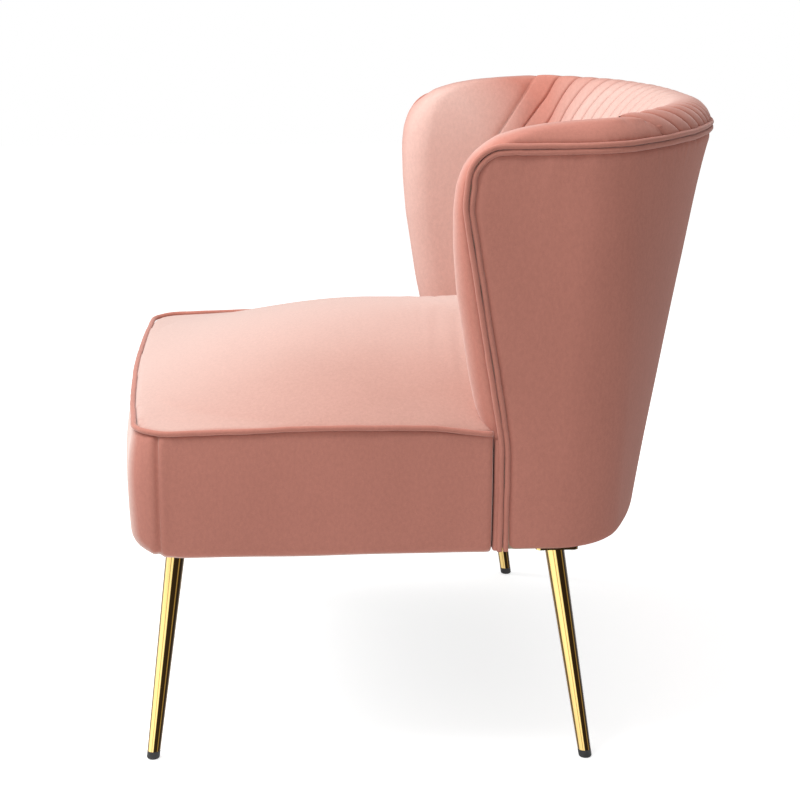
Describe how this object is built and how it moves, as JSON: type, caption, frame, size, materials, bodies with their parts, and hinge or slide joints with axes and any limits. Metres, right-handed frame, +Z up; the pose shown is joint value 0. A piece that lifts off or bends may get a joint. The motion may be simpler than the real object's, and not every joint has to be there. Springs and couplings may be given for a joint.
{
  "type": "armchair",
  "caption": "Slipper armchair in dusty pink velvet: boxed seat, channelled barrel back with low wings and double piping, slim tapered gold legs",
  "frame": {"origin": "on the floor, under the middle of the whole chair", "axes": "X across the chair, +X at the sitter's left; -Y is the front and +Y the rear; +Z is up"},
  "size_m": [0.6604, 0.7409, 0.7625],
  "materials": {
    "cardboard": "stiff brown board",
    "dust_cloth": "black non-woven cloth",
    "felt": "needled grey felt",
    "foam": "open-cell polyurethane foam",
    "glide_rubber": "matte black moulded rubber",
    "gold_tube": "gold electroplated steel tube, mirror polish",
    "piping": "dusty pink velvet over cord",
    "plywood": "birch plywood, raw",
    "softwood": "pine, planed and raw",
    "velvet": "dusty pink velvet, short pile",
    "wadding": "white polyester wadding",
    "webbing": "woven elastic webbing",
    "zinc_steel": "bright zinc plated"
  },
  "bodies": {
    "root": {"back_board": "cardboard", "back_bottom_ring": "plywood", "back_dust_cover": "dust_cloth", "back_foam": "foam", "back_inner_cover": "velvet", "back_inner_welt": "piping", "back_outer_cover": "velvet", "back_outer_welt": "piping", "back_plank": "plywood", "back_rib_corner_left": "plywood", "back_rib_corner_right": "plywood", "back_rib_rear_left": "plywood", "back_rib_rear_right": "plywood", "back_rib_side_left": "plywood", "back_rib_side_right": "plywood", "back_top_rail": "plywood", "back_webbing": "webbing", "leg_front_left": "gold_tube", "leg_front_right": "gold_tube", "leg_glide_front_left": "glide_rubber", "leg_glide_front_right": "glide_rubber", "leg_glide_rear_left": "glide_rubber", "leg_glide_rear_right": "glide_rubber", "leg_plate_front_left": "gold_tube", "leg_plate_front_right": "gold_tube", "leg_plate_rear_left": "gold_tube", "leg_plate_rear_right": "gold_tube", "leg_rear_left": "gold_tube", "leg_rear_right": "gold_tube", "leg_screws": "zinc_steel", "seat_boxing": "velvet", "seat_corner_block_left": "softwood", "seat_corner_block_right": "softwood", "seat_dust_cover": "dust_cloth", "seat_felt": "felt", "seat_foam": "foam", "seat_front_rail": "softwood", "seat_leg_block_left": "softwood", "seat_leg_block_right": "softwood", "seat_padding": "wadding", "seat_shoulder_rail_left": "softwood", "seat_shoulder_rail_right": "softwood", "seat_side_rail_left": "softwood", "seat_side_rail_right": "softwood", "seat_tongue_rail_left": "softwood", "seat_tongue_rail_rear": "softwood", "seat_tongue_rail_right": "softwood", "seat_top_panel": "velvet", "seat_webbing_cross": "webbing", "seat_webbing_long": "webbing", "seat_welt": "piping", "unit_bolts": "zinc_steel", "unit_nuts": "zinc_steel", "unit_washers": "zinc_steel", "wing_facing_left": "velvet", "wing_facing_right": "velvet", "wing_post_left": "plywood", "wing_post_right": "plywood"}
  },
  "joints": []
}
